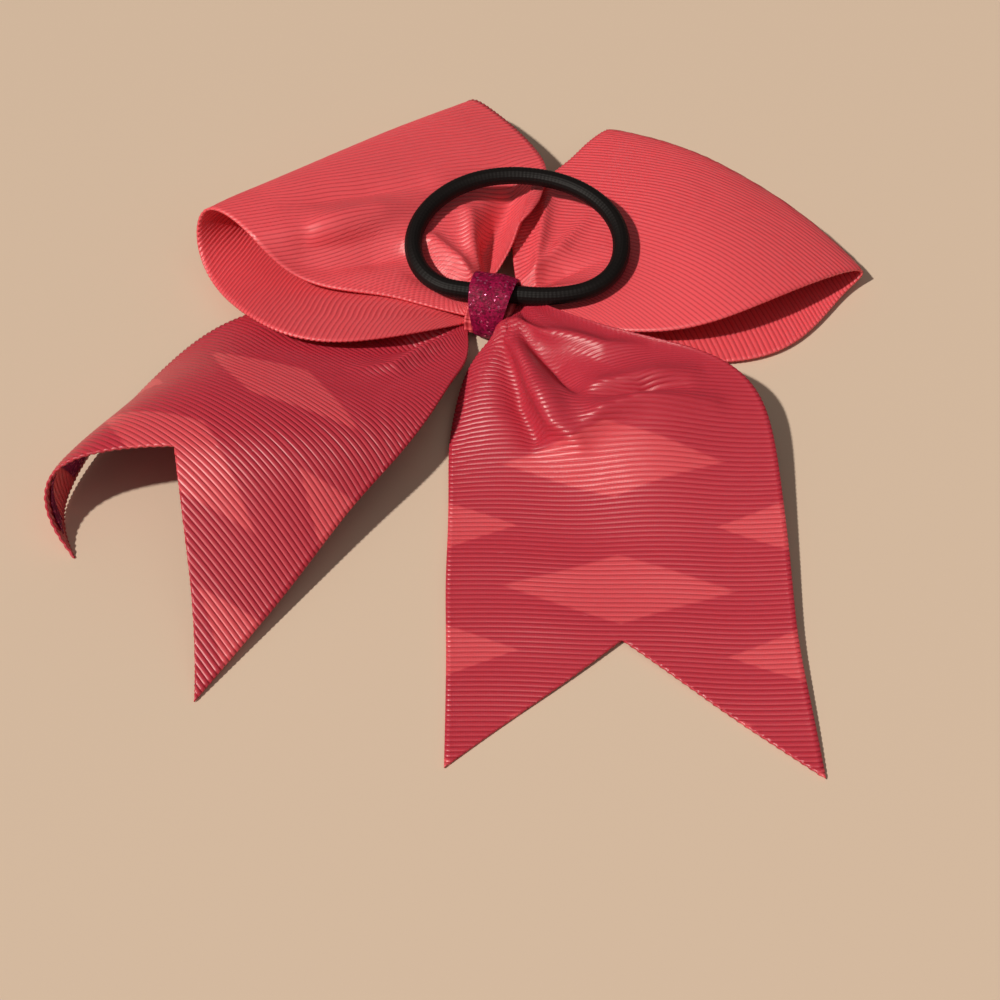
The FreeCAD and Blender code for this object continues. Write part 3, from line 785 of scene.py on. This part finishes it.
for node, colour, rough, grain, see_through in (
    ("gathering_tie", (0.78, 0.77, 0.72, 1), 0.38, 260, 0.25),
    ("wrap_glue", (0.86, 0.80, 0.62, 1), 0.22, 900, 0.5),
    ("elastic_sleeve", (0.03, 0.03, 0.032, 1), 0.55, 1400, 0.0),
):
    material = bpy.data.materials.new(node + "_surface")
    material.use_nodes = True
    tree = material.node_tree
    shader = tree.nodes["Principled BSDF"]
    place = tree.nodes.new("ShaderNodeTexCoord")
    mottle = tree.nodes.new("ShaderNodeTexNoise")
    mottle.inputs["Scale"].default_value = grain
    mottle.inputs["Detail"].default_value = 4
    tree.links.new(place.outputs["Object"], mottle.inputs["Vector"])
    shade = tuple(part * 0.7 for part in colour[:3]) + (1,)
    tree.links.new(mixed(tree, mottle.outputs["Fac"], shade, colour), shader.inputs["Base Color"])
    shader.inputs["Roughness"].default_value = rough
    shader.inputs["Subsurface Weight"].default_value = see_through
    shader.inputs["Subsurface Scale"].default_value = 1 * MM
    bump = tree.nodes.new("ShaderNodeBump")
    bump.inputs["Distance"].default_value = 0.08 * MM
    tree.links.new(mottle.outputs["Fac"], bump.inputs["Height"])
    tree.links.new(bump.outputs[0], shader.inputs["Normal"])
    frame["nodes"][node].data.materials.clear()
    frame["nodes"][node].data.materials.append(material)

# ---- Centre wrap -----------------------------------------------------------------------------------
# A narrow ribbon coated with magenta glitter goes round the gathers and over the elastic. It is pulled
# tight, so it draws in towards the front, where it goes down between the tails.
wrap_wall = 0.7 * MM
wrap_stations = [
    # distance from the middle along Y, height, half width
    (0.0, 15.4, 5.3),
    (3.6, 15.1, 5.3),
    (6.6, 11.8, 5.2),
    (8.0, 7.5, 5.0),
    (7.4, 2.6, 4.8),
    (3.6, 1.2, 4.6),
    (-0.6, 1.2, 4.2),
    (-5.0, 1.4, 3.2),
    (-7.6, 4.0, 2.9),
    (-7.6, 8.0, 3.6),
    (-6.0, 12.4, 4.6),
    (-3.2, 15.2, 5.2),
]
wrap_steps, wrap_lanes = 240, 28


def closed_spline(points, samples):
    """Evenly numbered points of the closed cubic spline that these control points pull."""
    net = np.array(points, float)
    found = []
    for i in range(samples):
        x = i * len(net) / samples
        first = int(x)
        t = x - first
        weights = ((1 - t) ** 3, 3 * t ** 3 - 6 * t ** 2 + 4, -3 * t ** 3 + 3 * t ** 2 + 3 * t + 1, t ** 3)
        found.append(sum(w / 6 * net[(first + k) % len(net)] for k, w in enumerate(weights)))
    return np.array(found)


random.seed(11)
band = bmesh.new()
wrap_line = closed_spline(wrap_stations, wrap_steps)
rings = []
for i, (y, z, half) in enumerate(wrap_line):
    before, after = wrap_line[i - 1], wrap_line[(i + 1) % wrap_steps]
    outward = Vector((0, before[1] - after[1], after[0] - before[0]))
    outward.normalize()
    ring = []
    for j in range(wrap_lanes + 1):
        share = j / wrap_lanes * 2 - 1
        sag = -0.45 * share ** 4 + 0.12 * math.sin(share * 5 + i * 0.11)
        place = Vector((share * half, y, z)) + outward * (sag + random.uniform(-0.045, 0.045))
        ring.append(band.verts.new(middle + place * MM))
    rings.append(ring)
for i, ring in enumerate(rings):
    following = rings[(i + 1) % wrap_steps]
    for j in range(wrap_lanes):
        band.faces.new((ring[j], ring[j + 1], following[j + 1], following[j]))
bmesh.ops.recalc_face_normals(band, faces=band.faces[:])
mesh = bpy.data.meshes.new("glitter_wrap")
band.to_mesh(mesh)
band.free()
glitter_wrap = bpy.data.objects.new("glitter_wrap", mesh)
bpy.context.collection.objects.link(glitter_wrap)
bpy.context.view_layer.objects.active = glitter_wrap
wall = glitter_wrap.modifiers.new("wall", "SOLIDIFY")
wall.thickness = wrap_wall
wall.offset = -1
bpy.ops.object.modifier_apply(modifier="wall")
glitter_wrap.data.materials.append(
    glitter_material("magenta_glitter_ribbon", (0.10, 0.001, 0.018, 1), (0.34, 0.004, 0.060, 1), 2100, 0.955)
)
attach(glitter_wrap, "bow")
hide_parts("centre_wrap")

# ---- Hair elastic ----------------------------------------------------------------------------------
# A black braided cover over a rubber core. It comes out on one side of the wrap, lies round on the
# loops in an egg shape and goes back in on the other side, where a sleeve joins its ends.
elastic_diameter = 4.3 * MM
core_diameter = 2.4 * MM
braid_strands, braid_length, braid_height = 9, 1.9 * MM, 0.13 * MM
elastic_route = [
    (0.0005, 0.0), (0.006, 0.0), (0.0145, 0.0004), (0.0225, 0.0028), (0.0277, 0.0080), (0.0294, 0.0150),
    (0.0281, 0.0228), (0.0236, 0.0297), (0.0164, 0.0347), (0.0076, 0.0371), (-0.0022, 0.0368),
    (-0.0108, 0.0335), (-0.0172, 0.0275), (-0.0208, 0.0199), (-0.0212, 0.0120), (-0.0182, 0.0050),
    (-0.0128, 0.0008), (-0.006, 0.0), (-0.0005, 0.0),
]
swing = next(made for made in frame["joints"] if made["name"] == "elastic_swing")
pivot, sideways = Vector(swing["pos_m"]), Vector(swing["axis"])
elastic_tilt = math.radians(11)
level = Vector((-sideways.y, sideways.x, 0))
rising = level * math.cos(elastic_tilt) + Vector((0, 0, math.sin(elastic_tilt)))
curve = bpy.data.curves.new("elastic_line", "CURVE")
curve.dimensions = "3D"
line = curve.splines.new("NURBS")
line.points.add(len(elastic_route) - 1)
for point, (across, forward) in zip(line.points, elastic_route):
    point.co = (*(pivot + sideways * across + rising * forward), 1)
line.order_u = 3
line.use_endpoint_u = True
line.resolution_u = 12
holder = bpy.data.objects.new("elastic_line", curve)
bpy.context.collection.objects.link(holder)
bpy.context.view_layer.update()
drawn = bpy.data.meshes.new_from_object(holder)
elastic_path = np.array([vertex.co for vertex in drawn.vertices])
bpy.data.objects.remove(holder)
travelled = np.concatenate([[0], np.cumsum(np.linalg.norm(np.diff(elastic_path, axis=0), axis=1))])
elastic_length = float(travelled[-1])


def tube(name, radius, along_count, around_count, strands, height):
    """A closed tube along the elastic's line, braided where strands isn't 0."""
    stations = np.linspace(0, elastic_length, along_count)
    centres = np.stack([np.interp(stations, travelled, elastic_path[:, k]) for k in range(3)], axis=1)
    forward = np.gradient(centres, axis=0)
    forward /= np.linalg.norm(forward, axis=1, keepdims=True)
    up = np.array(sideways.cross(rising))
    aside = np.cross(forward, up)
    made = bmesh.new()
    rings = []
    for centre, side, run in zip(centres, aside, stations):
        ring = []
        for j in range(around_count):
            turn = 2 * math.pi * j / around_count
            twist = 2 * math.pi * run / braid_length
            bumps = math.cos(strands * turn + twist) * math.cos(strands * turn - twist) if strands else 0
            reach = radius + height * (bumps - 1) / 2
            spoke = (side * math.cos(turn) + up * math.sin(turn)) * reach
            ring.append(made.verts.new(Vector(centre + spoke)))
        rings.append(ring)
    for ring, following in zip(rings[:-1], rings[1:]):
        for j in range(around_count):
            k = (j + 1) % around_count
            made.faces.new((ring[j], ring[k], following[k], following[j]))
    made.faces.new(list(reversed(rings[0])))
    made.faces.new(rings[-1])
    bmesh.ops.recalc_face_normals(made, faces=made.faces[:])
    mesh = bpy.data.meshes.new(name)
    made.to_mesh(mesh)
    made.free()
    for polygon in mesh.polygons:
        polygon.use_smooth = len(polygon.vertices) == 4
    piece = bpy.data.objects.new(name, mesh)
    bpy.context.collection.objects.link(piece)
    return piece


elastic_braid = tube("elastic_braid", elastic_diameter / 2, 520, 72, braid_strands, braid_height)
elastic_rubber = tube("elastic_rubber", core_diameter / 2, 160, 16, 0, 0)
braid_black, braid_sheen = (0.0015, 0.001, 0.001, 1), (0.007, 0.005, 0.005, 1)
rubber_dark, rubber_light = (0.03, 0.03, 0.03, 1), (0.07, 0.07, 0.07, 1)
for piece, node, colour, bright, rough, slot in (
    (elastic_braid, "elastic_cover", braid_black, braid_sheen, 0.55, "elastic_braid"),
    (elastic_rubber, "elastic_core", rubber_dark, rubber_light, 0.7, "elastic_rubber"),
):
    material = bpy.data.materials.new(slot + "_surface")
    material.use_nodes = True
    tree = material.node_tree
    shader = tree.nodes["Principled BSDF"]
    place = tree.nodes.new("ShaderNodeTexCoord")
    fibres = tree.nodes.new("ShaderNodeTexNoise")
    fibres.inputs["Scale"].default_value = 3200
    fibres.inputs["Detail"].default_value = 3
    tree.links.new(place.outputs["Object"], fibres.inputs["Vector"])
    tree.links.new(mixed(tree, fibres.outputs["Fac"], colour, bright), shader.inputs["Base Color"])
    shader.inputs["Roughness"].default_value = rough
    shader.inputs["Specular IOR Level"].default_value = 0.2
    bump = tree.nodes.new("ShaderNodeBump")
    bump.inputs["Strength"].default_value = 0.6
    bump.inputs["Distance"].default_value = 0.05 * MM
    tree.links.new(fibres.outputs["Fac"], bump.inputs["Height"])
    tree.links.new(bump.outputs[0], shader.inputs["Normal"])
    piece.data.materials.append(material)
    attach(piece, "hair_elastic")
    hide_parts(node)
